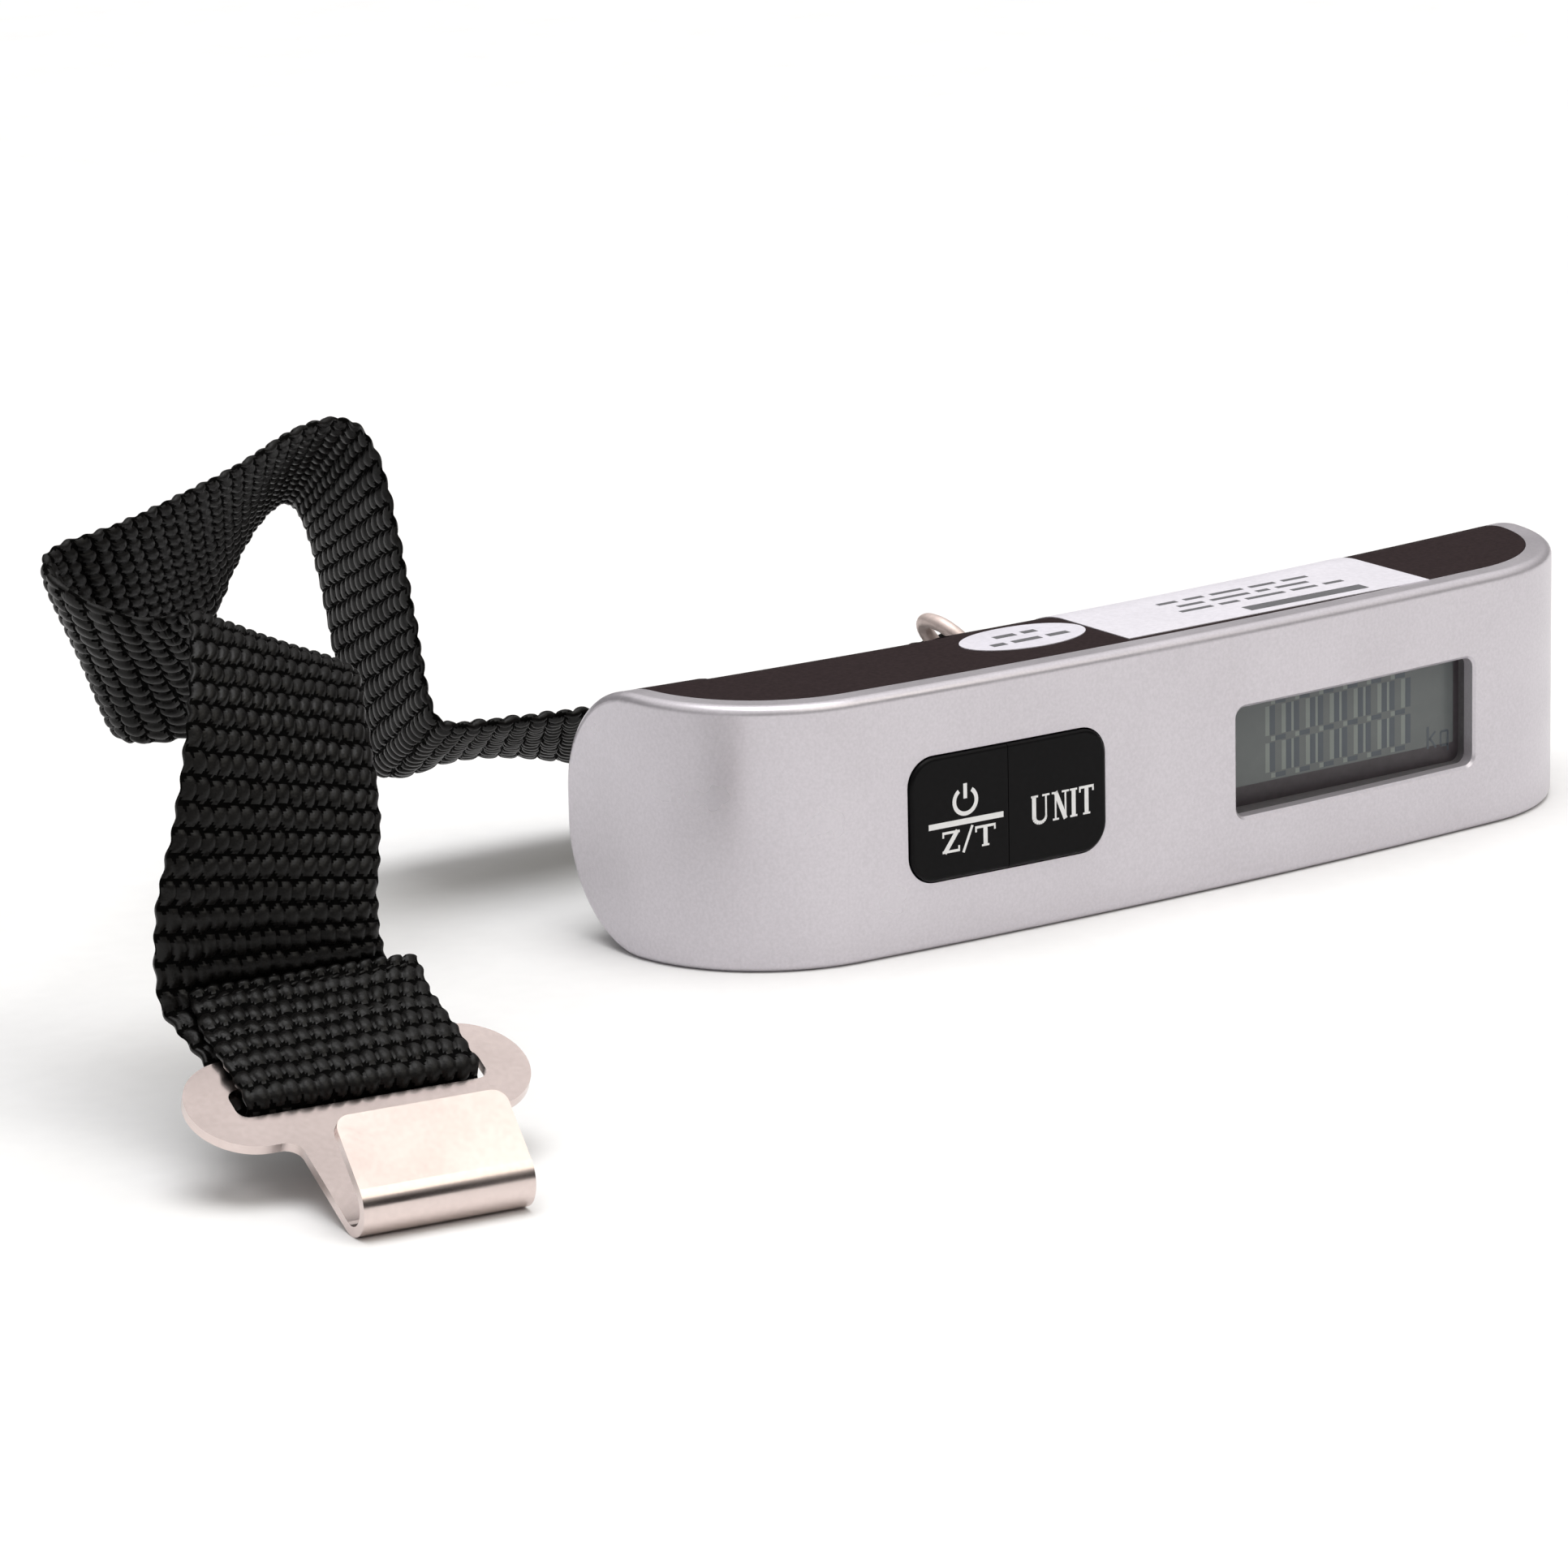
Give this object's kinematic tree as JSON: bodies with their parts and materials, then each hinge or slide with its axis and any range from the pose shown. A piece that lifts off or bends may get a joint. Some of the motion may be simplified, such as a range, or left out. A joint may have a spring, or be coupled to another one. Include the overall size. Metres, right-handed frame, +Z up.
{
  "type": "digital luggage scale",
  "caption": "Bar-shaped hand scale with a small display, power and unit keys, a webbing strap on a ring and a rolled metal hook plate.",
  "frame": {"origin": "under the middle of the bar and ring, on the lower long side face the scale stands on", "axes": "+X along the bar towards the display end, +Y from the display face to the ring (the pulling direction), +Z up"},
  "size_m": [0.2381, 0.1361, 0.0683],
  "materials": {
    "silver": "satin metallic lilac-grey with fine flake",
    "housing": "matte warm dark grey",
    "key_black": "semi-gloss near-black",
    "lcd": "grey-green polariser under clear film",
    "lcd_bezel": "matte dark grey",
    "elastomer": "pink-grey conductive rubber",
    "board": "green solder mask",
    "chip": "black epoxy",
    "switch": "black moulded switch body",
    "plunger": "ivory moulded plunger",
    "nickel": "bright nickel plate",
    "steel": "zinc-plated steel",
    "beam": "milled aluminium",
    "gauge": "amber film",
    "cell": "satin stainless can",
    "webbing": "coarse black polyester weave",
    "thread": "black sewing thread",
    "label": null,
    "oval_label": "pale satin paper sticker"
  },
  "bodies": {
    "scale": {"front_cover": "silver", "rear_housing": "housing", "battery_cell": "cell", "battery_contact_negative": "steel", "battery_contact_positive": "steel", "lcd_frame": "lcd_bezel", "lcd_panel": "lcd", "zebra_strips": "elastomer", "circuit_board": "board", "board_chips": "chip", "power_switch": "switch", "unit_switch": "switch", "load_cell_beam": "beam", "strain_gauges": "gauge", "load_cell_screws": "steel", "housing_screws": "steel", "hanger_eye": "nickel", "hanger_washer": "steel", "hanger_nut": "steel", "strap": "webbing", "strap_stitching": "thread", "rating_label": "label", "inspection_label": "oval_label"},
    "power_key": {"power_key": "key_black", "power_plunger": "plunger"},
    "unit_key": {"unit_key": "key_black", "unit_plunger": "plunger"},
    "battery_door": {"battery_door": "housing"},
    "ring": {"ring": "nickel"},
    "hook_plate": {"hook_plate": "nickel"}
  },
  "joints": [
    {"name": "power_key_press", "type": "slide", "parent": "scale", "child": "power_key", "axis": [0, 1, 0], "range_m": [0, 0.0003], "stiffness_N_per_m": 2000},
    {"name": "unit_key_press", "type": "slide", "parent": "scale", "child": "unit_key", "axis": [0, 1, 0], "range_m": [0, 0.0003], "stiffness_N_per_m": 2000},
    {"name": "battery_door_pull", "type": "slide", "parent": "scale", "child": "battery_door", "axis": [0, 1, 0], "range_m": [0, 0.01]},
    {"name": "ring_pivot", "type": "hinge", "parent": "scale", "child": "ring", "pos_m": [0, 0.0145, 0.017], "axis": [-0.6157, 0, 0.788], "range_deg": [-25, 25], "deforming": ["strap"]},
    {"name": "hook_plate_swing", "type": "hinge", "parent": "scale", "child": "hook_plate", "pos_m": [-0.1441, -0.04948, 0.01202], "axis": [-0.9914, 0.1305, 0], "range_deg": [0, 35], "deforming": ["strap"]}
  ]
}
